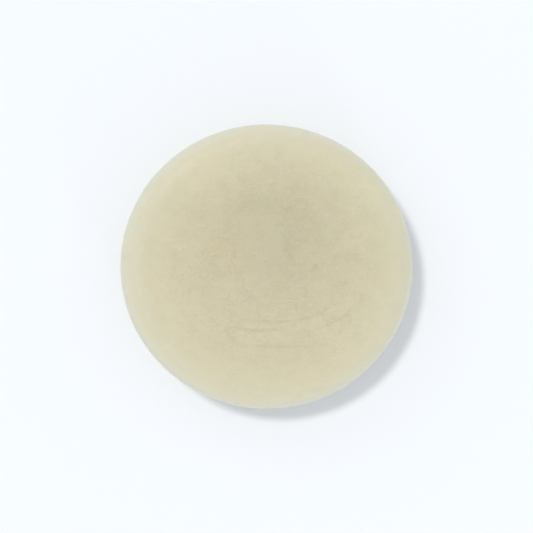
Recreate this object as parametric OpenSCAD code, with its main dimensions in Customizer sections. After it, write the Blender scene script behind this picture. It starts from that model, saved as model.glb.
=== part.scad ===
// Shaving soap puck: one solid casting of hard soap, poured into a round, tapered, flexible mould and
// turned out whole. It stands on the flat face that the mould's floor gave it. The face that was open
// to the air is on top, and it has sunk a little in the middle as the soap set. Millimetres, +Z up,
// origin at the middle of the flat base.

/* [Puck] */
// Width at the widest line, just under the top edge
puck_w = 70; // [60:0.5:85]
// How much less the puck measures front to back, because a soft mould lets it settle slightly oval
out_of_round = 1.9; // [0.2:0.1:4]
// Height from the base to the highest ring of the top face
puck_h = 25; // [18:0.5:35]
// How far the side leans in from the widest line to the base, on each side
side_taper = 1; // [0:0.1:2.5]

/* [Edges] */
// Radius of the hand-eased top edge
top_edge_r = 5; // [2:0.25:7]
// Radius that the mould gives the bottom edge
base_edge_r = 2.5; // [1:0.25:5]

/* [Top face] */
// Width of the flat ring left between the rounded top edge and the sunken middle
lip_w = 1; // [0.5:0.1:6]
// Depth of the sunken middle at its centre
sink_depth = 0.8; // [0.2:0.1:2]

/* [Hidden] */
$fn = 128;

// The outline is an oval of four arcs. Their centres lie on the axes, and each pair of neighbours is
// a 3-4-5 triangle with the middle, so two arcs touch tangent where the line through both centres
// meets them, and every length on the way there is a plain decimal.
half_w = puck_w / 2;
half_d = (puck_w - out_of_round) / 2;
triangle_unit = out_of_round / 4;
end_arc_shift = 4 * triangle_unit;
end_arc_r = half_w - end_arc_shift;
face_arc_shift = 3 * triangle_unit;
face_arc_r = half_d + face_arc_shift;

// The sunken middle is the cap of a large ball.
sink_r = half_d - top_edge_r - lip_w;
sink_ball_r = (pow(sink_r, 2) + pow(sink_depth, 2)) / (2 * sink_depth);

// The straight side is set this far inside the line that only touches both round edges, so that it
// crosses each one cleanly and leaves no sliver.
side_set_in = 0.0005;

// Half of the puck's upright section, from an arc's centre out to that arc's radius r. Two round
// edges are joined by a straight side.
module half_section(r) {
    top = [r - top_edge_r, puck_h - top_edge_r];
    base = [r - side_taper - base_edge_r, base_edge_r];
    between = top - base;
    lean = atan2(between.y, between.x) - acos((base_edge_r - top_edge_r) / norm(between));
    outward = [cos(lean), sin(lean)];
    polygon([
        [0, 0],
        [base.x, 0],
        base + (base_edge_r - side_set_in) * outward,
        top + (top_edge_r - side_set_in) * outward,
        [top.x, puck_h],
        [0, puck_h],
    ]);
    translate(top) circle(top_edge_r);
    translate(base) circle(base_edge_r);
}

// One arc's share of the puck: a full turn of the half section about the arc's centre, kept between
// the two rays that run from that centre to the ends of the arc.
module arc_share(centre, r, rays) {
    reach = puck_w / 4;
    translate(centre)
        intersection() {
            rotate_extrude() half_section(r);
            translate([0, 0, -puck_h / 2])
                linear_extrude(2 * puck_h)
                    polygon([[0, 0], reach * rays[0], reach * rays[1]]);
        }
}

module soap_puck() {
    color("#d3cdb1")
    difference() {
        union() {
            arc_share([end_arc_shift, 0], end_arc_r, [[4, -3], [4, 3]]);
            arc_share([0, -face_arc_shift], face_arc_r, [[4, 3], [-4, 3]]);
            arc_share([-end_arc_shift, 0], end_arc_r, [[-4, 3], [-4, -3]]);
            arc_share([0, face_arc_shift], face_arc_r, [[-4, -3], [4, -3]]);
        }
        translate([0, 0, puck_h - sink_depth + sink_ball_r])
            sphere(sink_ball_r);
    }
}

soap_puck();
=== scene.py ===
# %% [markdown]
# # A puck of shaving soap
#
# The object is one solid casting. Hard white stearic soap is melted, poured into a round, soft mould
# and left to set. It is turned out whole, so it has a flat base, a side that leans in a little, and a
# top face that was open to the air. That face sank slightly in the middle as the soap cooled, and it
# keeps faint lines from the pour.
#
# The outer sizes below are taken from that model, so the piece we make lands in the same place and in
# the same box.

import math

import bpy
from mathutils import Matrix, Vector


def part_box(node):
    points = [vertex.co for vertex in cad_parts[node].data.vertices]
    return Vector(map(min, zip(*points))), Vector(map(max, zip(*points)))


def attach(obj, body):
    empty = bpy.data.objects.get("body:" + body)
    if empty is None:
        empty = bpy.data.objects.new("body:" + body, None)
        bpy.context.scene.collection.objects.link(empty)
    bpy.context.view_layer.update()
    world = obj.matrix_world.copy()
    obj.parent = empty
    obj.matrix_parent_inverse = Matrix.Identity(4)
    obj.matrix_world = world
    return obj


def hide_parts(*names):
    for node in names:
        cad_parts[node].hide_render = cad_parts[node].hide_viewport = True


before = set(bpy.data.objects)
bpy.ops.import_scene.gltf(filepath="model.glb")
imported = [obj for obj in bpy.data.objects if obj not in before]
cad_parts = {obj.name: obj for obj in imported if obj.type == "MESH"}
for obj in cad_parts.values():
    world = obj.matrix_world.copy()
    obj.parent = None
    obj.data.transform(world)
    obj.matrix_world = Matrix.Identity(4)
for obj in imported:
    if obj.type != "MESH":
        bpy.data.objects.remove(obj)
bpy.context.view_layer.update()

MM = 0.001
NODE = "soap_puck"
low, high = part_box(NODE)
HALF_WIDTH = (high.x - low.x) / 2
HALF_DEPTH = (high.y - low.y) / 2
HEIGHT = high.z - low.z
print(f"puck {2 * HALF_WIDTH / MM:.1f} x {2 * HALF_DEPTH / MM:.1f} x {HEIGHT / MM:.1f} mm")

# %% [markdown]
# ## Two helpers
#
# Screens store colour in the sRGB curve, and light adds up in linear numbers. One function turns a
# hex colour into the linear red, green and blue that a shader wants.
#
# A second function adds one node to any node tree. It sets the node's own settings, and for each
# input it either types in a value or draws a link, depending on what it is given.


# %% Colour and node helpers
def linear(hex_colour, alpha=1.0):
    """An sRGB hex colour as the linear values that Blender's shaders use."""
    parts = [int(hex_colour[i : i + 2], 16) / 255 for i in (1, 3, 5)]
    curve = [c / 12.92 if c <= 0.04045 else ((c + 0.055) / 1.055) ** 2.4 for c in parts]
    return (*curve, alpha)


def add(tree, kind, settings=None, inputs=None):
    """Adds a node: its settings are set, and each input is linked or given a value."""
    node = tree.nodes.new(kind)
    for name, value in (settings or {}).items():
        setattr(node, name, value)
    for socket, value in (inputs or {}).items():
        if isinstance(value, bpy.types.NodeSocket):
            tree.links.new(value, node.inputs[socket])
        else:
            node.inputs[socket].default_value = value
    return node


# %% [markdown]
# ## The shape of the casting
#
# A puck could be turned from a profile with Spin or Screw. That leaves a pole in the middle of the
# top face, where the faces shrink to needles, and the top face is the one everybody looks at. So we
# start from a cube cut into small squares and press it into a puck with a rule. The squares stay
# about the same size everywhere, and there is no pole and no seam.
#
# The rule has four steps, and Geometry Nodes carry it out:
#
# 1. Squeeze the square outline into a circle. A point (u, v) moves to
#    (u * sqrt(1 - v * v / 2), v * sqrt(1 - u * u / 2)), which spreads the squares evenly.
# 2. Round the edges. Each point finds the nearest place on a smaller core, then steps out from it by
#    the edge radius. Away from the edges this changes nothing. At the edges it draws an arc.
# 3. Lean the side in towards the base.
# 4. Squash the circle front to back into the slight oval that a soft mould gives.

# %% Sizes of the casting, in metres
CAST = {
    "Half width": HALF_WIDTH,
    "Half depth": HALF_DEPTH,
    "Height": HEIGHT,
    "Side taper": 1.0 * MM,
    "Top edge radius": 5.0 * MM,
    "Base edge radius": 2.5 * MM,
    "Sink depth": 0.7 * MM,
    "Sink radius": 31.0 * MM,
    "Pour line depth": 0.135 * MM,
    "Pour line width": 0.85 * MM,
    "Side ring depth": 0.14 * MM,
    "Side ring width": 1.1 * MM,
    "Swell depth": 0.18 * MM,
    "Wrinkle depth": 0.07 * MM,
    "Pit depth": 0.2 * MM,
    "Dent depth": 0.4 * MM,
}
SEED = 11
TOP_SQUARES = 168
SIDE_SQUARES = 44
square_mm = 2 * HALF_WIDTH / TOP_SQUARES / MM
print(f"squares: {TOP_SQUARES} across the top, {SIDE_SQUARES} up the side, each about {square_mm:.2f} mm")

# %% Start the tree with its named inputs
cast = bpy.data.node_groups.new("poured puck", "GeometryNodeTree")
cast.is_modifier = True
cast.interface.new_socket("Geometry", in_out="OUTPUT", socket_type="NodeSocketGeometry")
for name in CAST:
    cast.interface.new_socket(name, in_out="INPUT", socket_type="NodeSocketFloat")
cast.interface.new_socket("Seed", in_out="INPUT", socket_type="NodeSocketInt")
cast.interface.new_socket("Material", in_out="INPUT", socket_type="NodeSocketMaterial")
given = add(cast, "NodeGroupInput").outputs
print(f"the tree has {len(CAST) + 2} inputs")

# %% Step 1: a cut cube, squeezed into a round prism
cut_cube = add(
    cast,
    "GeometryNodeMeshCube",
    {},
    {
        "Size": (2, 2, 1),
        "Vertices X": TOP_SQUARES + 1,
        "Vertices Y": TOP_SQUARES + 1,
        "Vertices Z": SIDE_SQUARES + 1,
    },
)
place = add(cast, "GeometryNodeInputPosition").outputs[0]
cube_at = add(cast, "ShaderNodeSeparateXYZ", {}, {0: place}).outputs
squeezed = []
for along, across in ((0, 1), (1, 0)):
    square = add(
        cast, "ShaderNodeMath", {"operation": "MULTIPLY"}, {0: cube_at[across], 1: cube_at[across]}
    ).outputs[0]
    left_over = add(
        cast, "ShaderNodeMath", {"operation": "MULTIPLY_ADD"}, {0: square, 1: -0.5, 2: 1.0}
    ).outputs[0]
    narrowed = add(cast, "ShaderNodeMath", {"operation": "SQRT"}, {0: left_over}).outputs[0]
    squeezed.append(
        add(cast, "ShaderNodeMath", {"operation": "MULTIPLY"}, {0: cube_at[along], 1: narrowed}).outputs[0]
    )
disc = add(cast, "ShaderNodeCombineXYZ", {}, {0: squeezed[0], 1: squeezed[1]}).outputs[0]
disc_r = add(cast, "ShaderNodeVectorMath", {"operation": "LENGTH"}, {0: disc}).outputs["Value"]
outward = add(cast, "ShaderNodeVectorMath", {"operation": "NORMALIZE"}, {0: disc}).outputs[0]
reach = add(
    cast, "ShaderNodeMath", {"operation": "MULTIPLY"}, {0: disc_r, 1: given["Half width"]}
).outputs[0]
rise = add(cast, "ShaderNodeMath", {"operation": "ADD"}, {0: cube_at[2], 1: 0.5}).outputs[0]
level = add(cast, "ShaderNodeMath", {"operation": "MULTIPLY"}, {0: rise, 1: given["Height"]}).outputs[0]

# %% Step 2: round the edges about a smaller core
is_upper = add(cast, "ShaderNodeMath", {"operation": "GREATER_THAN"}, {0: rise, 1: 0.5}).outputs[0]
edge_r = add(
    cast,
    "ShaderNodeMix",
    {"data_type": "FLOAT"},
    {"Factor": is_upper, 2: given["Base edge radius"], 3: given["Top edge radius"]},
).outputs[0]
core_limit = add(
    cast, "ShaderNodeMath", {"operation": "SUBTRACT"}, {0: given["Half width"], 1: edge_r}
).outputs[0]
core_r = add(cast, "ShaderNodeMath", {"operation": "MINIMUM"}, {0: reach, 1: core_limit}).outputs[0]
widest_z = add(
    cast, "ShaderNodeMath", {"operation": "SUBTRACT"}, {0: given["Height"], 1: given["Top edge radius"]}
).outputs[0]
core_z = add(
    cast, "ShaderNodeClamp", {}, {"Value": level, "Min": given["Base edge radius"], "Max": widest_z}
).outputs[0]
away_r = add(cast, "ShaderNodeMath", {"operation": "SUBTRACT"}, {0: reach, 1: core_r}).outputs[0]
away_z = add(cast, "ShaderNodeMath", {"operation": "SUBTRACT"}, {0: level, 1: core_z}).outputs[0]
away = add(cast, "ShaderNodeCombineXYZ", {}, {0: away_r, 2: away_z}).outputs[0]
unit_away = add(cast, "ShaderNodeVectorMath", {"operation": "NORMALIZE"}, {0: away}).outputs[0]
step_out = add(
    cast, "ShaderNodeVectorMath", {"operation": "SCALE"}, {0: unit_away, "Scale": edge_r}
).outputs[0]
step = add(cast, "ShaderNodeSeparateXYZ", {}, {0: step_out}).outputs
round_r = add(cast, "ShaderNodeMath", {"operation": "ADD"}, {0: core_r, 1: step[0]}).outputs[0]
round_z = add(cast, "ShaderNodeMath", {"operation": "ADD"}, {0: core_z, 1: step[2]}).outputs[0]

# %% Steps 3 and 4: lean the side in, and settle the circle into an oval
lean = add(
    cast,
    "ShaderNodeMapRange",
    {},
    {
        "Value": round_z,
        "From Min": given["Base edge radius"],
        "From Max": widest_z,
        "To Min": given["Side taper"],
        "To Max": 0.0,
    },
).outputs[0]
lean_share = add(
    cast, "ShaderNodeMath", {"operation": "DIVIDE"}, {0: lean, 1: given["Half width"]}
).outputs[0]
leant = add(cast, "ShaderNodeMath", {"operation": "SUBTRACT"}, {0: 1.0, 1: lean_share}).outputs[0]
final_r = add(cast, "ShaderNodeMath", {"operation": "MULTIPLY"}, {0: round_r, 1: leant}).outputs[0]
squash = add(
    cast, "ShaderNodeMath", {"operation": "DIVIDE"}, {0: given["Half depth"], 1: given["Half width"]}
).outputs[0]
spread = add(cast, "ShaderNodeVectorMath", {"operation": "SCALE"}, {0: outward, "Scale": final_r}).outputs[0]
oval = add(cast, "ShaderNodeCombineXYZ", {}, {0: 1.0, 1: squash, 2: 0.0}).outputs[0]
lifted = add(cast, "ShaderNodeCombineXYZ", {}, {2: round_z}).outputs[0]
puck_at = add(
    cast, "ShaderNodeVectorMath", {"operation": "MULTIPLY_ADD"}, {0: spread, 1: oval, 2: lifted}
).outputs[0]
pressed = add(
    cast, "GeometryNodeSetPosition", {}, {"Geometry": cut_cube.outputs[0], "Position": puck_at}
).outputs[0]
print(f"plain puck: {len(cast.nodes)} nodes")

# %% [markdown]
# A ring would show where a flat face turns sharply into an arc, even though the two meet tangent. On
# the real puck a damp thumb has eased the edge, so the turn starts slowly. A subdivision surface
# would ease it too, but it would also shrink the puck. Blur Attribute averages each position with its
# neighbours a few times, which only touches the turns.

# %% Ease the start of each arc
EASING_PASSES = 14
blur = add(cast, "GeometryNodeBlurAttribute", {"data_type": "FLOAT_VECTOR"}, {"Iterations": EASING_PASSES})
cast.links.new(place, blur.inputs[[s.type for s in blur.inputs].index("VECTOR")])
eased = next(s for s in blur.outputs if s.type == "VECTOR")
smooth_cast = add(cast, "GeometryNodeSetPosition", {}, {"Geometry": pressed, "Position": eased}).outputs[0]

# %% [markdown]
# ## The lines that the pour left
#
# Soap thickens as it cools, so the last of it does not quite level out. It leaves a loose spiral
# where the stream went in, and shallow crescents where the flow stopped, most of them towards the
# front. The deepest is a groove of little more than a tenth of a millimetre.
#
# They could be carved by hand in Sculpt Mode, but then they could not be moved later. We draw them as
# curves: one spiral, and arcs that each pass through three points. Every point of the casting then
# asks how far it is from the nearest curve, and sinks if it is close. A value stored along each curve
# makes the groove fade out at its ends, and sets how deep that line is.

# %% The spiral where the stream went in
SPIRAL_STRENGTH = 0.2
spiral = add(
    cast,
    "GeometryNodeCurveSpiral",
    {},
    {
        "Resolution": 48,
        "Rotations": 1.6,
        "Start Radius": 4.2 * MM,
        "End Radius": 12.5 * MM,
        "Height": 0.0,
        "Reverse": True,
    },
)
stretched = add(
    cast,
    "GeometryNodeTransform",
    {},
    {
        "Geometry": spiral.outputs[0],
        "Translation": (-0.6 * MM, 4.6 * MM, 0),
        "Rotation": (0, 0, math.radians(200)),
        "Scale": (1.0, 1.3, 1.0),
    },
)
pour_lines = [(stretched, SPIRAL_STRENGTH)]

# %% The crescents: strength, then start, middle and end in millimetres
CRESCENTS = (
    (0.65, (-6.0, -12.5), (0.5, -13.2), (7.5, -12.6)),
    (0.95, (-9.4, -14.0), (-1.6, -15.2), (5.5, -14.7)),
    (0.8, (-10.4, -13.8), (-8.6, -16.4), (-6.2, -18.7)),
    (0.62, (-9.2, -18.4), (3.2, -19.0), (15.4, -18.5)),
    (0.48, (8.4, -15.4), (16.8, -12.9), (21.6, -8.4)),
    (0.5, (6.4, -12.9), (13.6, -10.7), (18.8, -7.2)),
    (0.3, (13.8, -18.4), (18.6, -14.6), (21.8, -10.8)),
    (0.25, (-6.0, -21.8), (3.0, -22.6), (10.0, -21.6)),
    (0.35, (-17.0, -8.4), (-13.6, -12.0), (-9.4, -14.0)),
    (0.3, (0.6, 13.6), (3.2, 9.6), (4.9, 3.6)),
    (0.25, (-5.6, 11.6), (-7.5, 2.0), (-5.2, -6.6)),
)
for strength, *points in CRESCENTS:
    arc = add(cast, "GeometryNodeCurveArc", {"mode": "POINTS"}, {"Resolution": 64})
    for socket, (x, y) in zip(("Start", "Middle", "End"), points):
        arc.inputs[socket].default_value = (x * MM, y * MM, 0)
    pour_lines.append((arc, strength))
print(f"pour lines: {len(pour_lines)}")

# %% Store the strength along each line, fading at its ends, and make the lines strings of edges
along = add(cast, "GeometryNodeSplineParameter").outputs["Factor"]
half_turn = add(cast, "ShaderNodeMath", {"operation": "MULTIPLY"}, {0: along, 1: math.pi}).outputs[0]
arched = add(cast, "ShaderNodeMath", {"operation": "SINE"}, {0: half_turn}).outputs[0]
faded_ends = add(
    cast, "ShaderNodeMapRange", {}, {"Value": arched, "From Min": 0.0, "From Max": 0.6}
).outputs[0]
uneven = add(cast, "ShaderNodeTexNoise", {}, {"Scale": 190.0, "Detail": 1.0}).outputs[0]
unevenness = add(
    cast, "ShaderNodeMapRange", {}, {"Value": uneven, "From Min": 0.4, "From Max": 0.55, "To Min": 0.75}
).outputs[0]
fading = add(cast, "ShaderNodeMath", {"operation": "MULTIPLY"}, {0: faded_ends, 1: unevenness}).outputs[0]
all_lines = add(cast, "GeometryNodeJoinGeometry")
for line, strength in pour_lines:
    value = add(cast, "ShaderNodeMath", {"operation": "MULTIPLY"}, {0: fading, 1: strength}).outputs[0]
    marked = add(
        cast,
        "GeometryNodeStoreNamedAttribute",
        {"data_type": "FLOAT", "domain": "POINT"},
        {"Geometry": line.outputs[0], "Name": "strength", "Value": value},
    )
    cast.links.new(marked.outputs[0], all_lines.inputs[0])
strings = add(cast, "GeometryNodeCurveToMesh", {}, {"Curve": all_lines.outputs[0]}).outputs[0]

# %% Ask every point of the casting how near the closest line is, and how strong that line is
flat = add(cast, "ShaderNodeVectorMath", {"operation": "MULTIPLY"}, {0: place, 1: (1, 1, 0)}).outputs[0]
near_line = add(
    cast, "GeometryNodeProximity", {"target_element": "EDGES"}, {"Geometry": strings, "Sample Position": flat}
).outputs["Distance"]
closeness = add(
    cast,
    "ShaderNodeMapRange",
    {"interpolation_type": "SMOOTHERSTEP"},
    {"Value": near_line, "From Min": 0.0, "From Max": given["Pour line width"], "To Min": 1.0, "To Max": 0.0},
).outputs[0]
line_point = add(
    cast, "GeometryNodeSampleNearest", {"domain": "POINT"}, {"Geometry": strings, "Sample Position": flat}
).outputs[0]
stored = add(cast, "GeometryNodeInputNamedAttribute", {"data_type": "FLOAT"}, {"Name": "strength"}).outputs[0]
line_strength = add(
    cast,
    "GeometryNodeSampleIndex",
    {"data_type": "FLOAT", "domain": "POINT"},
    {"Geometry": strings, "Value": stored, "Index": line_point},
).outputs[0]
pour = add(cast, "ShaderNodeMath", {"operation": "MULTIPLY"}, {0: closeness, 1: line_strength}).outputs[0]

# %% [markdown]
# The lines belong to the top face only. A factor called `upward` is 1 where the surface faces up and
# 0 on the side, and it is used again for everything that differs between top and side.
#
# A groove in a thick liquid pushes a low lip up beside it. So the groove is closeness times a
# straight line that starts below zero: near the line it sinks, and just beside it it rises.

# %% Keep the lines on the top face, and give each groove its lip
LIP = 1.7
facing = add(cast, "GeometryNodeInputNormal").outputs[0]
facing_z = add(cast, "ShaderNodeSeparateXYZ", {}, {0: facing}).outputs[2]
upward = add(
    cast,
    "ShaderNodeMapRange",
    {"interpolation_type": "SMOOTHSTEP"},
    {"Value": facing_z, "From Min": 0.3, "From Max": 0.97},
).outputs[0]
pour_on_top = add(cast, "ShaderNodeMath", {"operation": "MULTIPLY"}, {0: pour, 1: upward}).outputs[0]
lip = add(
    cast, "ShaderNodeMath", {"operation": "MULTIPLY_ADD"}, {0: closeness, 1: 1 + LIP, 2: -LIP}
).outputs[0]
groove = add(cast, "ShaderNodeMath", {"operation": "MULTIPLY"}, {0: pour_on_top, 1: lip}).outputs[0]

# %% [markdown]
# The side has its own marks. Each time the pour paused, the soap below had begun to set against the
# cool wall, and a faint wavy ring stayed there. Curves could draw the rings too, but height alone is
# enough here: each ring is where the height meets a value that wanders with a noise. The same noise
# lets the rings come and go.

# %% Rings around the side
RING_HEIGHTS = (8.2 * MM, 15.6 * MM)
RING_WANDER = 4.5 * MM
RING_DROP = 2.2 * MM
wave = add(cast, "ShaderNodeTexNoise", {}, {"Vector": place, "Scale": 45.0, "Detail": 1.0}).outputs[0]
place_z = add(cast, "ShaderNodeSeparateXYZ", {}, {0: place}).outputs[2]
side_rings = None
for ring_z in RING_HEIGHTS:
    waved_z = add(
        cast,
        "ShaderNodeMath",
        {"operation": "MULTIPLY_ADD"},
        {0: wave, 1: RING_WANDER, 2: ring_z - RING_DROP},
    ).outputs[0]
    off = add(cast, "ShaderNodeMath", {"operation": "SUBTRACT"}, {0: place_z, 1: waved_z}).outputs[0]
    gap = add(cast, "ShaderNodeMath", {"operation": "ABSOLUTE"}, {0: off}).outputs[0]
    ring = add(
        cast,
        "ShaderNodeMapRange",
        {"interpolation_type": "SMOOTHERSTEP"},
        {"Value": gap, "From Min": 0.0, "From Max": given["Side ring width"], "To Min": 1.0, "To Max": 0.0},
    ).outputs[0]
    side_rings = ring if side_rings is None else add(
        cast, "ShaderNodeMath", {"operation": "MAXIMUM"}, {0: side_rings, 1: ring}
    ).outputs[0]
comes_and_goes = add(
    cast, "ShaderNodeMapRange", {}, {"Value": wave, "From Min": 0.35, "From Max": 0.6, "To Min": 0.2}
).outputs[0]
rings = add(cast, "ShaderNodeMath", {"operation": "MULTIPLY"}, {0: side_rings, 1: comes_and_goes}).outputs[0]
print(f"side rings: {len(RING_HEIGHTS)}")

# %% [markdown]
# ## Pits and dents
#
# Air bubbles leave small round pits, and a soft edge picks up shallow dents when it is handled. A
# bump texture could fake both, but it would leave the outline straight where a dent crosses it. Here
# they are real hollows, scattered by two nodes: Distribute Points on Faces with a fixed seed, and
# Geometry Proximity, which measures how far each point of the casting is from its nearest hollow.
#
# Pits sit mostly on the side and base, where air was trapped against the mould, so their density follows how
# far the surface faces up. Dents only sit where the surface turns over an edge. A few larger bubbles burst on
# the top face, and those are listed one by one.

# %% Burst bubbles on the top face: x, y and radius in millimetres
BURST_BUBBLES = (
    (11.8, 0.0, 0.95),
    (13.2, 0.3, 0.5),
    (14.8, 2.3, 0.55),
    (4.6, 3.9, 0.5),
    (-5.9, 13.2, 0.6),
    (22.4, 7.2, 0.6),
)
bursts = []
for x, y, burst_r in BURST_BUBBLES:
    burst = add(cast, "GeometryNodePoints", {}, {"Count": 1, "Position": (x * MM, y * MM, HEIGHT)})
    sized_burst = add(
        cast,
        "GeometryNodeStoreNamedAttribute",
        {"data_type": "FLOAT", "domain": "POINT"},
        {"Geometry": burst.outputs[0], "Name": "hollow radius", "Value": burst_r * MM},
    )
    bursts.append(sized_burst.outputs[0])
print(f"burst bubbles: {len(bursts)}")

# %% Where the hollows sit: name, number per square metre, mask, radii in metres, hollows listed one by one
slope = add(cast, "ShaderNodeMath", {"operation": "ABSOLUTE"}, {0: facing_z}).outputs[0]
on_edge = add(cast, "ShaderNodeMath", {"operation": "COMPARE"}, {0: slope, 1: 0.55, 2: 0.35}).outputs[0]
mostly_side = add(cast, "ShaderNodeMapRange", {}, {"Value": upward, "To Min": 1.0, "To Max": 0.12}).outputs[0]
HOLLOWS = (
    ("pit", 8000.0, mostly_side, (0.45 * MM, 0.95 * MM), bursts),
    ("dent", 8000.0, on_edge, (1.4 * MM, 3.2 * MM), []),
)

# %% Scatter them, each with its own size, and measure how deep in one each point lies
hollows = {}
for turn, (name, per_m2, where, radii, by_hand) in enumerate(HOLLOWS):
    density = add(cast, "ShaderNodeMath", {"operation": "MULTIPLY"}, {0: where, 1: per_m2}).outputs[0]
    seed = add(cast, "ShaderNodeMath", {"operation": "ADD"}, {0: given["Seed"], 1: float(turn)}).outputs[0]
    points = add(
        cast,
        "GeometryNodeDistributePointsOnFaces",
        {"distribute_method": "RANDOM"},
        {"Mesh": smooth_cast, "Density": density, "Seed": seed},
    ).outputs[0]
    size = add(
        cast, "FunctionNodeRandomValue", {"data_type": "FLOAT"}, {2: radii[0], 3: radii[1], "Seed": seed}
    ).outputs[1]
    sized = add(
        cast,
        "GeometryNodeStoreNamedAttribute",
        {"data_type": "FLOAT", "domain": "POINT"},
        {"Geometry": points, "Name": "hollow radius", "Value": size},
    ).outputs[0]
    gathered = add(cast, "GeometryNodeJoinGeometry", {}, {0: sized})
    for burst in by_hand:
        cast.links.new(burst, gathered.inputs[0])
    centres = gathered.outputs[0]
    how_far = add(
        cast, "GeometryNodeProximity", {"target_element": "POINTS"}, {"Geometry": centres}
    ).outputs["Distance"]
    which = add(cast, "GeometryNodeSampleNearest", {"domain": "POINT"}, {"Geometry": centres}).outputs[0]
    radius = add(
        cast, "GeometryNodeInputNamedAttribute", {"data_type": "FLOAT"}, {"Name": "hollow radius"}
    ).outputs[0]
    its_radius = add(
        cast,
        "GeometryNodeSampleIndex",
        {"data_type": "FLOAT", "domain": "POINT"},
        {"Geometry": centres, "Value": radius, "Index": which},
    ).outputs[0]
    inside = add(
        cast,
        "ShaderNodeMapRange",
        {"interpolation_type": "SMOOTHSTEP"},
        {"Value": how_far, "From Min": 0.0, "From Max": its_radius, "To Min": 1.0, "To Max": 0.0},
    ).outputs[0]
    share = add(cast, "ShaderNodeMath", {"operation": "DIVIDE"}, {0: its_radius, 1: radii[1]}).outputs[0]
    hollows[name] = add(cast, "ShaderNodeMath", {"operation": "MULTIPLY"}, {0: inside, 1: share}).outputs[0]
print(f"hollows: {', '.join(hollows)}")

# %% [markdown]
# ## Sinking the surface
#
# Three more shapes make up the skin: the sunken middle, a broad swell that keeps any face from being
# dead flat, and a fine wrinkle, which is weaker near the rim because the soap set there first. A
# Displace modifier could add them one by one. In the tree they are all added up as one depth, and
# each point moves in by that depth along its own normal.
#
# Nearly everything goes inwards, so that the piece stays inside its box. A last step stretches the finished
# shape by a hair, so that it fills the exact box again.

# %% The sunken middle, the swell and the wrinkle
middle = add(cast, "ShaderNodeVectorMath", {"operation": "LENGTH"}, {0: flat}).outputs["Value"]
sunken = add(
    cast,
    "ShaderNodeMapRange",
    {"interpolation_type": "SMOOTHSTEP"},
    {
        "Value": middle,
        "From Min": 0.0,
        "From Max": given["Sink radius"],
        "To Min": given["Sink depth"],
        "To Max": 0.0,
    },
).outputs[0]
broad = add(cast, "ShaderNodeTexNoise", {}, {"Vector": place, "Scale": 75.0, "Detail": 1.5}).outputs[0]
dragged = add(cast, "ShaderNodeVectorMath", {"operation": "MULTIPLY"}, {0: place, 1: (1, 1, 0.3)}).outputs[0]
fine = add(cast, "ShaderNodeTexNoise", {}, {"Vector": dragged, "Scale": 430.0, "Detail": 2.0}).outputs[0]
inner = add(
    cast,
    "ShaderNodeMapRange",
    {"interpolation_type": "SMOOTHSTEP"},
    {
        "Value": middle,
        "From Min": 0.55 * HALF_WIDTH,
        "From Max": 0.95 * HALF_WIDTH,
        "To Min": 1.0,
        "To Max": 0.4,
    },
).outputs[0]
wrinkle = add(cast, "ShaderNodeMath", {"operation": "MULTIPLY"}, {0: fine, 1: inner}).outputs[0]
mostly_top = add(cast, "ShaderNodeMapRange", {}, {"Value": upward, "To Min": 0.8, "To Max": 1.0}).outputs[0]
swell = add(cast, "ShaderNodeMath", {"operation": "MULTIPLY"}, {0: broad, 1: given["Swell depth"]}).outputs[0]

# %% Add up the depths
depth = add(cast, "ShaderNodeMath", {"operation": "MULTIPLY"}, {0: sunken, 1: upward}).outputs[0]
for amount, most in (
    (groove, given["Pour line depth"]),
    (rings, given["Side ring depth"]),
    (mostly_top, swell),
    (wrinkle, given["Wrinkle depth"]),
    (hollows["pit"], given["Pit depth"]),
    (hollows["dent"], given["Dent depth"]),
):
    depth = add(
        cast, "ShaderNodeMath", {"operation": "MULTIPLY_ADD"}, {0: amount, 1: most, 2: depth}
    ).outputs[0]

# %% Keep the lines, rings and pits as attributes for the painted shade in the finish, then move the surface in
kept = smooth_cast
for name, value in (("pour", pour_on_top), ("ring", rings), ("pit", hollows["pit"])):
    kept = add(
        cast,
        "GeometryNodeStoreNamedAttribute",
        {"data_type": "FLOAT", "domain": "POINT"},
        {"Geometry": kept, "Name": name, "Value": value},
    ).outputs[0]
inward = add(cast, "ShaderNodeMath", {"operation": "MULTIPLY"}, {0: depth, 1: -1.0}).outputs[0]
offset = add(cast, "ShaderNodeVectorMath", {"operation": "SCALE"}, {0: facing, "Scale": inward}).outputs[0]
relief = add(cast, "GeometryNodeSetPosition", {}, {"Geometry": kept, "Offset": offset}).outputs[0]

# %% Fill the exact box again
reached = add(cast, "GeometryNodeBoundBox", {}, {"Geometry": relief}).outputs
spans = add(
    cast, "ShaderNodeVectorMath", {"operation": "SUBTRACT"}, {0: reached["Max"], 1: reached["Min"]}
).outputs[0]
from_low = add(
    cast, "ShaderNodeVectorMath", {"operation": "SUBTRACT"}, {0: place, 1: reached["Min"]}
).outputs[0]
box_share = add(cast, "ShaderNodeVectorMath", {"operation": "DIVIDE"}, {0: from_low, 1: spans}).outputs[0]
box_half = add(
    cast, "ShaderNodeCombineXYZ", {}, {0: given["Half width"], 1: given["Half depth"], 2: given["Height"]}
).outputs[0]
box_size = add(
    cast, "ShaderNodeVectorMath", {"operation": "MULTIPLY"}, {0: box_half, 1: (2, 2, 1)}
).outputs[0]
box_low = add(
    cast, "ShaderNodeVectorMath", {"operation": "MULTIPLY"}, {0: box_half, 1: (-1, -1, 0)}
).outputs[0]
filled = add(
    cast, "ShaderNodeVectorMath", {"operation": "MULTIPLY_ADD"}, {0: box_share, 1: box_size, 2: box_low}
).outputs[0]
boxed = add(cast, "GeometryNodeSetPosition", {}, {"Geometry": relief, "Position": filled}).outputs[0]

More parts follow.
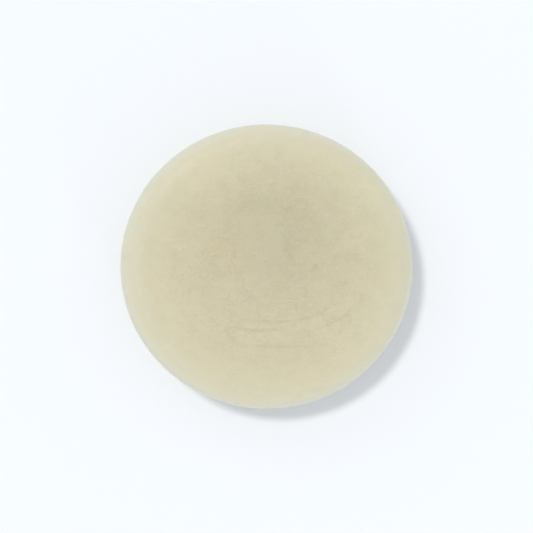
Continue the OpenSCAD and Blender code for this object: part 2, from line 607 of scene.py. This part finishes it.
# %% Finish the tree: smooth shading, real geometry, material
shaded = add(cast, "GeometryNodeSetShadeSmooth", {}, {"Geometry": boxed}).outputs[0]
real = add(cast, "GeometryNodeRealizeInstances", {}, {"Geometry": shaded}).outputs[0]
dressed = add(
    cast, "GeometryNodeSetMaterial", {}, {"Geometry": real, "Material": given["Material"]}
).outputs[0]
add(cast, "NodeGroupOutput", {}, {0: dressed})
print(f"tree '{cast.name}': {len(cast.nodes)} nodes")

# %% [markdown]
# ## The finish: cast stearic soap, set in air
#
# Hard shaving soap is mostly stearic acid turned to soap. It is a waxy, fine-grained solid, so light
# goes a few millimetres in and comes out again nearby. To the eye that gives a soft, even body with
# no hard shading, and a rim that looks paler, because light also comes in through the side there.
# The skin is satin: it has a broad, weak shine.
#
# A plain diffuse colour would look like plaster. The Principled shader's subsurface scattering gives
# the depth, and everything else is built from noises and distances.
#
# The colour is a warm, slightly green ivory. Its change from middle to rim is painted light: it is deepest in
# the middle, as painted shade, and it pales to a whiter tone towards the rim and down the side, as painted
# light that comes in through the thin edge. The ramp below follows the oval radius: 0 in the middle, 1 at the
# rim. Down the side it stays at one value.

# %% Start the soap material with Object coordinates
soap = bpy.data.materials.new("cast_stearic_soap")
soap.use_nodes = True
mix = soap.node_tree
mix.nodes.clear()
at = add(mix, "ShaderNodeTexCoord").outputs["Object"]
height_at = add(mix, "ShaderNodeSeparateXYZ", {}, {0: at}).outputs[2]

# %% Place on the painted-light ramp: how far out the point is, with an edge that wanders a little
RAMP_MIDDLE = (0.7 * MM, 0, 0)
ENDLESS = 1e6
WANDER = 0.035
SIDE_RAMP_PLACE = 0.84
across = add(
    mix,
    "ShaderNodeMapping",
    {"vector_type": "TEXTURE"},
    {"Vector": at, "Location": RAMP_MIDDLE, "Scale": (HALF_WIDTH, HALF_DEPTH, ENDLESS)},
).outputs[0]
oval_r = add(mix, "ShaderNodeVectorMath", {"operation": "LENGTH"}, {0: across}).outputs["Value"]
wander = add(mix, "ShaderNodeTexNoise", {}, {"Vector": at, "Scale": 70.0, "Detail": 2.0}).outputs[0]
wandered = add(
    mix, "ShaderNodeMath", {"operation": "MULTIPLY_ADD"}, {0: wander, 1: 2 * WANDER, 2: -WANDER}
).outputs[0]
soft_r = add(mix, "ShaderNodeMath", {"operation": "ADD"}, {0: oval_r, 1: wandered}).outputs[0]
lower = add(
    mix,
    "ShaderNodeMapRange",
    {"interpolation_type": "SMOOTHSTEP"},
    {"Value": height_at, "From Min": 16 * MM, "From Max": 23 * MM, "To Min": 1.0, "To Max": 0.0},
).outputs[0]
# The place on the ramp is painted light: low in the shaded middle, high at the pale rim, one value down the
# side.
painted_light_place = add(
    mix, "ShaderNodeMix", {"data_type": "FLOAT"}, {"Factor": lower, 2: soft_r, 3: SIDE_RAMP_PLACE}
).outputs[0]

# %% The ramp from the painted shade of the middle to the painted pale light of the rim
TONES = (
    (0.0, "#d0c9ac"),
    (0.42, "#d3ccae"),
    (0.62, "#d6cfb2"),
    (0.80, "#d8d2b6"),
    (0.90, "#d8d4bc"),
    (0.98, "#d9d7c2"),
)
ramp = add(mix, "ShaderNodeValToRGB", {}, {"Fac": painted_light_place})
while len(ramp.color_ramp.elements) < len(TONES):
    ramp.color_ramp.elements.new(1.0)
for stop, (where, tone) in zip(ramp.color_ramp.elements, TONES):
    stop.position = where
    stop.color = linear(tone)
ramp.color_ramp.interpolation = "EASE"
print(f"ramp: {len(TONES)} tones, from {TONES[0][1]} in the middle to {TONES[-1][1]} at the rim")

# %% [markdown]
# The skin is not the same everywhere. It is wrinkled in the middle and smoother near the rim, where it set
# first, and the very last of the pour made a small smooth island. There are darker and paler patches too, the
# broadest of them painted shade, and faint tints. A painted mask could hold all of that. A few ellipses do it
# without a picture: one small function measures how far a point is from the middle of an ellipse on the top
# face, 0 at its middle and 1 at its edge, and fades out below the face.
#
# A factor called `calm` comes first: about 1 where the skin is wrinkled, and half as much where it is
# smooth. Fine grain, creases and bumps are all multiplied by it.


# %% Distance from an ellipse on the top face
ELLIPSE_DEPTH = 20 * MM


def ellipse_distance(x, y, wide, deep, turn=0):
    """0 in the middle of an ellipse and 1 at its edge. Half sizes in millimetres, turn in degrees."""
    inside_at = add(
        mix,
        "ShaderNodeMapping",
        {"vector_type": "TEXTURE"},
        {
            "Vector": at,
            "Location": (x * MM, y * MM, HEIGHT),
            "Rotation": (0, 0, math.radians(turn)),
            "Scale": (wide * MM, deep * MM, ELLIPSE_DEPTH),
        },
    ).outputs[0]
    return add(mix, "ShaderNodeVectorMath", {"operation": "LENGTH"}, {0: inside_at}).outputs["Value"]


# %% How wrinkled the skin is
wrinkled = add(
    mix,
    "ShaderNodeMapRange",
    {"interpolation_type": "SMOOTHSTEP"},
    {"Value": soft_r, "From Min": 0.55, "From Max": 1.0, "To Min": 1.15, "To Max": 0.5},
).outputs[0]
island = add(
    mix,
    "ShaderNodeMapRange",
    {"interpolation_type": "SMOOTHSTEP"},
    {"Value": ellipse_distance(-1.7, 4.9, 6.1, 10.2), "From Min": 0.7, "From Max": 1.1, "To Min": 0.5},
).outputs[0]
calm = add(mix, "ShaderNodeMath", {"operation": "MULTIPLY"}, {0: wrinkled, 1: island}).outputs[0]

# %% Grain: size in millimetres, change in lightness, detail
GRAINS = ((6.0, 0.02, 2.0), (1.5, 0.016, 1.0), (0.5, 0.02, 0.0))
shade = None
for size_mm, change, detail in GRAINS:
    grain = add(
        mix, "ShaderNodeTexNoise", {}, {"Vector": at, "Scale": 1 / (size_mm * MM), "Detail": detail}
    ).outputs[0]
    swing = add(
        mix,
        "ShaderNodeMapRange",
        {},
        {"Value": grain, "From Min": 0.3, "From Max": 0.7, "To Min": -change / 2, "To Max": change / 2},
    ).outputs[0]
    light = add(mix, "ShaderNodeMath", {"operation": "MULTIPLY_ADD"}, {0: swing, 1: calm, 2: 1.0}).outputs[0]
    shade = light if shade is None else add(
        mix, "ShaderNodeMath", {"operation": "MULTIPLY"}, {0: shade, 1: light}
    ).outputs[0]
print(f"grain sizes: {', '.join(str(g[0]) for g in GRAINS)} mm")

# %% [markdown]
# A crease is a thin line. A noise texture is smooth, but the line where it crosses its middle value
# is thin and winding. So we take the distance from that middle value and keep only what is very
# close. A second, broader noise decides where there are creases at all.

# %% Creases: thin winding lines in patches, each with its size in millimetres and its width
crease = None
for size_mm, width in ((2.6, 0.022), (1.3, 0.03)):
    winding = add(
        mix,
        "ShaderNodeTexNoise",
        {},
        {"Vector": at, "Scale": 1 / (size_mm * MM), "Detail": 1.0, "Distortion": 0.8},
    ).outputs[0]
    from_middle = add(mix, "ShaderNodeMath", {"operation": "SUBTRACT"}, {0: winding, 1: 0.5}).outputs[0]
    off_line = add(mix, "ShaderNodeMath", {"operation": "ABSOLUTE"}, {0: from_middle}).outputs[0]
    thin = add(
        mix,
        "ShaderNodeMapRange",
        {"interpolation_type": "SMOOTHSTEP"},
        {"Value": off_line, "From Min": 0.0, "From Max": width, "To Min": 1.0, "To Max": 0.0},
    ).outputs[0]
    crease = thin if crease is None else add(
        mix, "ShaderNodeMath", {"operation": "MAXIMUM"}, {0: crease, 1: thin}
    ).outputs[0]
where_creased = add(
    mix, "ShaderNodeTexNoise", {}, {"Vector": at, "Scale": 1 / (3.5 * MM), "Detail": 1.0}
).outputs[0]
in_patches = add(
    mix,
    "ShaderNodeMapRange",
    {"interpolation_type": "SMOOTHSTEP"},
    {"Value": where_creased, "From Min": 0.42, "From Max": 0.62, "To Min": 0.45},
).outputs[0]
patchy_crease = add(mix, "ShaderNodeMath", {"operation": "MULTIPLY"}, {0: crease, 1: in_patches}).outputs[0]
creases = add(mix, "ShaderNodeMath", {"operation": "MULTIPLY"}, {0: patchy_crease, 1: calm}).outputs[0]

# %% [markdown]
# Soap that is still damp looks a little darker, and soap that was swept thin looks a little paler. So
# The top face has soft patches that are a little darker or paler, darkest round the island, and one pale band
# between two crescents. The broad darkest patch over the middle is painted shade. Each changes the lightness
# by a few per cent at most.
# Every hollow is also darkened in the colour, as painted shade. The attributes that the tree stored say where
# the lines, rings and pits are, so the finish can darken them without measuring anything again.

# %% Darker and paler patches, the broad middle one painted shade: x, y, half width, half depth, turn, change in the middle
PATCHES = (
    (3.0, 9.0, 24.0, 23.0, 0, 0.936),
    (8.5, 13.0, 10.0, 10.0, 0, 0.975),
    (-3.5, 14.5, 6.0, 6.0, 0, 0.98),
    (6.4, 8.0, 4.5, 7.5, 0, 0.984),
    (1.6, 0.8, 3.2, 2.6, 0, 0.979),
    (26.0, 5.0, 16.0, 16.0, 0, 0.98),
    (-11.0, 6.0, 8.0, 14.0, 0, 0.987),
    (-8.5, 13.0, 6.0, 6.0, 0, 0.99),
    (18.0, -8.5, 13.0, 7.0, 0, 0.984),
    (19.0, 14.0, 7.0, 7.0, 0, 0.99),
    (-14.0, -9.0, 16.0, 14.0, 0, 1.012),
    (-12.0, 23.0, 16.0, 9.0, 0, 1.02),
    (-2.6, -1.0, 8.0, 9.0, 0, 1.008),
    (14.2, -11.6, 9.5, 1.7, 25, 1.022),
    (0.8, -11.0, 4.0, 1.8, 0, 1.012),
)
# The first, broad patch darkens the middle as painted shade; the others make the face a little darker or
# paler in places.
for x, y, wide, deep, turn, change in PATCHES:
    patch = add(
        mix,
        "ShaderNodeMapRange",
        {"interpolation_type": "SMOOTHSTEP"},
        {
            "Value": ellipse_distance(x, y, wide, deep, turn),
            "From Min": 0.0,
            "From Max": 1.0,
            "To Min": change,
            "To Max": 1.0,
        },
    ).outputs[0]
    shade = add(mix, "ShaderNodeMath", {"operation": "MULTIPLY"}, {0: shade, 1: patch}).outputs[0]
print(f"patches on the top face: {len(PATCHES)}")

# %% Painted shade in the lines, rings, pits and creases
marks = [(creases, 0.014)]
for name, darkening in (("pour", 0.032), ("ring", 0.03), ("pit", 0.045)):
    mark = add(mix, "ShaderNodeAttribute", {"attribute_name": name}).outputs["Fac"]
    marks.append((mark, darkening))
for mark, darkening in marks:
    marked_shade = add(
        mix, "ShaderNodeMath", {"operation": "MULTIPLY_ADD"}, {0: mark, 1: -darkening, 2: 1.0}
    ).outputs[0]
    shade = add(mix, "ShaderNodeMath", {"operation": "MULTIPLY"}, {0: shade, 1: marked_shade}).outputs[0]
top_tone = add(
    mix, "ShaderNodeVectorMath", {"operation": "SCALE"}, {0: ramp.outputs["Color"], "Scale": shade}
).outputs[0]

# %% [markdown]
# The side touched the mould. It is smoother than the top, with faint upright streaks where it slid
# out, and a thin white bloom that dries on in patches. Both are noises: the streaks come from one
# that is stretched along the height, the bloom from a soft, broad one.

# %% Streaks and bloom on the side
STREAK_WIDTH = 1.2 * MM
STREAK_LENGTH = 26 * MM
upright = add(
    mix,
    "ShaderNodeMapping",
    {},
    {"Vector": at, "Scale": (1 / STREAK_WIDTH, 1 / STREAK_WIDTH, 1 / STREAK_LENGTH)},
).outputs[0]
slid = add(mix, "ShaderNodeTexNoise", {}, {"Vector": upright, "Scale": 1.0, "Detail": 2.0}).outputs[0]
streak = add(
    mix,
    "ShaderNodeMapRange",
    {},
    {"Value": slid, "From Min": 0.35, "From Max": 0.65, "To Min": -0.008, "To Max": 0.008},
).outputs[0]
powder = add(
    mix, "ShaderNodeTexNoise", {}, {"Vector": at, "Scale": 1 / (8 * MM), "Detail": 3.0, "Roughness": 0.6}
).outputs[0]
bloom = add(
    mix,
    "ShaderNodeMapRange",
    {},
    {"Value": powder, "From Min": 0.42, "From Max": 0.68, "To Min": -0.015, "To Max": 0.03},
).outputs[0]
side_change = add(mix, "ShaderNodeMath", {"operation": "ADD"}, {0: streak, 1: bloom}).outputs[0]
side_shade = add(
    mix, "ShaderNodeMath", {"operation": "MULTIPLY_ADD"}, {0: side_change, 1: lower, 2: 1.0}
).outputs[0]
tone = add(mix, "ShaderNodeVectorMath", {"operation": "SCALE"}, {0: top_tone, "Scale": side_shade}).outputs[0]

# %% [markdown]
# The hue is not quite even either. Oil that has come to the skin is a little warmer: in one blotch,
# and in soft clouds that a noise places. The far right is a touch greener, and the front and the near
# right are a touch less yellow. Each tint is a colour close to white that multiplies the tone.

# %% Faint tints: x, y, half width, half depth, tint
OILY = (1.03, 0.993, 0.975, 1)
NO_TINT = (1, 1, 1, 1)
oily = add(mix, "ShaderNodeTexNoise", {}, {"Vector": at, "Scale": 1 / (11 * MM), "Detail": 2.0}).outputs[0]
oil_clouds = add(
    mix,
    "ShaderNodeMapRange",
    {},
    {"Value": oily, "From Min": 0.45, "From Max": 0.7, "To Min": 0.0, "To Max": 0.35},
).outputs[0]
tints = [(oil_clouds, OILY)]
for x, y, wide, deep, tint in (
    (-9.7, 3.2, 6.2, 5.2, OILY),
    (30.0, 13.0, 17.0, 20.0, (0.991, 1.009, 1.002, 1)),
    (0.0, -8.0, 24.0, 14.0, (1.0, 1.0, 1.009, 1)),
    (-14.0, -7.0, 11.0, 11.0, (1.0, 1.0, 1.012, 1)),
    (15.0, 2.0, 12.0, 13.0, (1.0, 1.0, 1.008, 1)),
):
    tinted = add(
        mix,
        "ShaderNodeMapRange",
        {"interpolation_type": "SMOOTHSTEP"},
        {
            "Value": ellipse_distance(x, y, wide, deep),
            "From Min": 0.0,
            "From Max": 1.0,
            "To Min": 1.0,
            "To Max": 0.0,
        },
    ).outputs[0]
    tints.append((tinted, tint))
colour = tone
for tinted, tint in tints:
    tint_here = add(
        mix, "ShaderNodeMix", {"data_type": "RGBA"}, {"Factor": tinted, 6: NO_TINT, 7: tint}
    ).outputs[2]
    colour = add(mix, "ShaderNodeVectorMath", {"operation": "MULTIPLY"}, {0: colour, 1: tint_here}).outputs[0]
print(f"tints: {len(tints)}")

# %% [markdown]
# Whatever is finer than the squares of the mesh is left to bump mapping. It only turns the light, but
# at a few hundredths of a millimetre nobody can see the difference. Two layers sit on each other: the
# folds and creases of the skin, then a waxy grain with pinholes. A pinhole is the middle of a cell of
# a Voronoi texture, and only some cells have one. The real grain is finer than half a millimetre. It
# is drawn that coarse so that it shows.

# %% The skin in relief: folds and creases
FOLD_DEPTH = 0.13 * MM
CREASE_SHARE = 0.35
folding = add(
    mix, "ShaderNodeTexNoise", {}, {"Vector": at, "Scale": 1 / (1.3 * MM), "Detail": 1.0, "Distortion": 0.6}
).outputs[0]
folded = add(mix, "ShaderNodeMath", {"operation": "MULTIPLY"}, {0: folding, 1: calm}).outputs[0]
creased = add(
    mix, "ShaderNodeMath", {"operation": "MULTIPLY_ADD"}, {0: creases, 1: -CREASE_SHARE, 2: folded}
).outputs[0]
folds = add(
    mix, "ShaderNodeBump", {}, {"Strength": 1.0, "Distance": FOLD_DEPTH, "Height": creased}
).outputs[0]

# %% Waxy grain and pinholes on top of the folds
GRAIN_DEPTH = 0.04 * MM
PINHOLE_SHARE = 1.5
waxy = add(mix, "ShaderNodeTexNoise", {}, {"Vector": at, "Scale": 1 / (0.5 * MM), "Detail": 2.0}).outputs[0]
cells = add(mix, "ShaderNodeTexVoronoi", {}, {"Vector": at, "Scale": 1 / (2.4 * MM)}).outputs
chosen = add(mix, "ShaderNodeSeparateColor", {}, {0: cells["Color"]}).outputs[0]
hole_r = add(
    mix,
    "ShaderNodeMapRange",
    {},
    {"Value": chosen, "From Min": 0.7, "From Max": 1.0, "To Min": 0.0, "To Max": 0.11},
).outputs[0]
pinhole = add(mix, "ShaderNodeMath", {"operation": "LESS_THAN"}, {0: cells["Distance"], 1: hole_r}).outputs[0]
skin = add(
    mix, "ShaderNodeMath", {"operation": "MULTIPLY_ADD"}, {0: pinhole, 1: -PINHOLE_SHARE, 2: waxy}
).outputs[0]
bump = add(
    mix, "ShaderNodeBump", {}, {"Strength": 0.5, "Distance": GRAIN_DEPTH, "Height": skin, "Normal": folds}
).outputs[0]

# %% [markdown]
# The shine is broad and weak, and a little uneven. Hands touch the shoulder more than anything else,
# so it is rubbed smoother, and it catches the light as a soft line round the top.

# %% Roughness, smoother on the rubbed shoulder
worn = add(mix, "ShaderNodeTexNoise", {}, {"Vector": at, "Scale": 1 / (9 * MM), "Detail": 3.0}).outputs[0]
satin = add(
    mix,
    "ShaderNodeMapRange",
    {},
    {"Value": worn, "From Min": 0.3, "From Max": 0.7, "To Min": 0.46, "To Max": 0.58},
).outputs[0]
rubbed = add(
    mix,
    "ShaderNodeMapRange",
    {"interpolation_type": "SMOOTHSTEP"},
    {"Value": oval_r, "From Min": 0.86, "From Max": 0.96, "To Min": 0.0, "To Max": 0.14},
).outputs[0]
roughness = add(mix, "ShaderNodeMath", {"operation": "SUBTRACT"}, {0: satin, 1: rubbed}).outputs[0]

# %% The soap's body: light goes about 4 mm in, red the deepest
body = add(
    mix,
    "ShaderNodeBsdfPrincipled",
    {"subsurface_method": "RANDOM_WALK"},
    {
        "Base Color": colour,
        "Roughness": roughness,
        "IOR": 1.45,
        "Normal": bump,
        "Subsurface Weight": 1.0,
        "Subsurface Radius": (1.0, 0.85, 0.55),
        "Subsurface Scale": 4.0 * MM,
    },
)
add(mix, "ShaderNodeOutputMaterial", {}, {"Surface": body.outputs[0]})
print(f"material {soap.name}: {len(mix.nodes)} nodes")

# %% [markdown]
# ## Casting the puck
#
# A modifier only shows its shape while it is live. We hang the tree on an empty mesh, give it its
# sizes through the sockets' identifiers, and ask Blender for the finished shape as a plain mesh. The
# modifier's object has done its work then, and goes. The plain mesh stands for the exact model's node
# and rides on its body.

# %% Give the tree its sizes, evaluate it, and keep the plain mesh
sizes = {**CAST, "Seed": SEED, "Material": soap}
carrier = bpy.data.objects.new("casting", bpy.data.meshes.new("casting"))
bpy.context.scene.collection.objects.link(carrier)
pouring = carrier.modifiers.new("poured puck", "NODES")
pouring.node_group = cast
for socket in cast.interface.items_tree:
    if socket.in_out == "INPUT":
        pouring[socket.identifier] = sizes[socket.name]
evaluated = carrier.evaluated_get(bpy.context.evaluated_depsgraph_get())
puck_mesh = bpy.data.meshes.new_from_object(evaluated)
bpy.data.objects.remove(carrier)

puck = bpy.data.objects.new("soap_casting", puck_mesh)
bpy.context.scene.collection.objects.link(puck)
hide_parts(NODE)
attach(puck, "root")
print(f"casting: {len(puck_mesh.vertices)} points, {2 * len(puck_mesh.polygons)} triangles")

# %% [markdown]
# ## The table, the light and the camera
#
# The puck stands on plain pale paper. The paper throws light back into the side of the soap, which
# helps the rim to look pale. Far away it sweeps up into a low wall, as in a studio, so no edge of the
# table shows from any side. A plane would do from above, but its far edge would show from the side.
# So it is one mesh made from a profile: a flat disc, a quarter turn, and a short wall.

# %% The paper: matte, without any shine
paper = bpy.data.materials.new("pale_matte_paper")
paper.use_nodes = True
paper.node_tree.nodes.clear()
sheet = add(
    paper.node_tree,
    "ShaderNodeBsdfPrincipled",
    {},
    {"Base Color": linear("#f5f9ff"), "Roughness": 0.9, "Specular IOR Level": 0.0},
)
add(paper.node_tree, "ShaderNodeOutputMaterial", {}, {"Surface": sheet.outputs[0]})

# %% The table: the profile turned all the way round
FLAT_REACH = 3.5
WALL_TURN = 1.0
WALL_TOP = 1.5
TURN_STEPS = 16
AROUND = 128
TABLE_GAP = 0.02 * MM
table_z = low.z - TABLE_GAP
turns = [math.radians(90) * k / TURN_STEPS for k in range(TURN_STEPS + 1)]
profile = [(FLAT_REACH + WALL_TURN * math.sin(t), table_z + WALL_TURN * (1 - math.cos(t))) for t in turns]
profile.append((FLAT_REACH + WALL_TURN, table_z + WALL_TOP))
corners = [(0, 0, table_z)]
for r, z in profile:
    for k in range(AROUND):
        angle = 2 * math.pi * k / AROUND
        corners.append((r * math.cos(angle), r * math.sin(angle), z))
flats = [(0, 1 + k, 1 + (k + 1) % AROUND) for k in range(AROUND)]
for row in range(len(profile) - 1):
    inner_at, outer_at = 1 + row * AROUND, 1 + (row + 1) * AROUND
    for k in range(AROUND):
        after = (k + 1) % AROUND
        flats.append((inner_at + k, outer_at + k, outer_at + after, inner_at + after))
table_mesh = bpy.data.meshes.new("table")
table_mesh.from_pydata(corners, [], flats)
table_mesh.shade_smooth()
table_mesh.materials.append(paper)
table = bpy.data.objects.new("table", table_mesh)
bpy.context.scene.collection.objects.link(table)
print(f"table: {2 * (FLAT_REACH + WALL_TURN):.0f} m across, {TABLE_GAP / MM} mm under the puck")

# %% [markdown]
# A white sky lights everything evenly. A soft sun, almost overhead and a little to the left and back,
# draws a short shadow. Two round lamps give the form some direction: a large softbox on the same side
# as the sun, and a small, weak fill low at the front right, which lifts the side that the sun misses.

# %% Sky and sun
SKY_COLOUR = (0.975, 0.99, 1.015, 1)
SKY_STRENGTH = 0.695
sky = bpy.data.worlds.new("white_sky")
sky.use_nodes = True
bpy.context.scene.world = sky
sky.node_tree.nodes["Background"].inputs["Color"].default_value = SKY_COLOUR
sky.node_tree.nodes["Background"].inputs["Strength"].default_value = SKY_STRENGTH

SHADOW_SLOPE = Vector((0.185, -0.185, -1.0))
sun_data = bpy.data.lights.new("sun", "SUN")
sun_data.energy = 1.03
sun_data.angle = math.radians(6)
sun_data.color = (1.0, 0.975, 0.93)
sun = bpy.data.objects.new("sun", sun_data)
sun.rotation_euler = SHADOW_SLOPE.to_track_quat("-Z", "Y").to_euler()
bpy.context.scene.collection.objects.link(sun)
print(f"the shadow falls {HEIGHT * SHADOW_SLOPE.x / MM:.1f} mm to the right and to the front")

# %% Softbox and fill: name, place, width in metres, power in watts
for name, lamp_at, size, power in (
    ("softbox", Vector((-0.55, 0.55, 0.7)), 0.6, 0.3),
    ("fill", Vector((0.35, -0.75, 0.3)), 0.25, 0.36),
):
    lamp_data = bpy.data.lights.new(name, "AREA")
    lamp_data.shape = "DISK"
    lamp_data.size = size
    lamp_data.energy = power
    lamp = bpy.data.objects.new(name, lamp_data)
    lamp.location = lamp_at
    lamp.rotation_euler = (-lamp_at).to_track_quat("-Z", "Y").to_euler()
    bpy.context.scene.collection.objects.link(lamp)
    print(f"{name}: {lamp_at.length:.2f} m away, {power} W")

# %% [markdown]
# The camera looks straight down from above the middle of the puck. A long lens from far away keeps
# the outline true: a short one close by would show the top face too large for the base.

# %% Camera: it frames a square at the height of the puck's widest line
FRAME_WIDTH = 127.6 * MM
SENSOR = 36.0
LENS = 200.0
widest = HEIGHT - CAST["Top edge radius"]
camera_data = bpy.data.cameras.new("camera")
camera_data.sensor_width = SENSOR
camera_data.lens = LENS
camera = bpy.data.objects.new("camera", camera_data)
camera.location = (0, 0, widest + FRAME_WIDTH * LENS / SENSOR)
bpy.context.scene.collection.objects.link(camera)
bpy.context.scene.camera = camera
bpy.context.scene.view_settings.view_transform = "Standard"
print(f"camera {camera.location.z:.3f} m up, framing {FRAME_WIDTH / MM:.1f} mm")
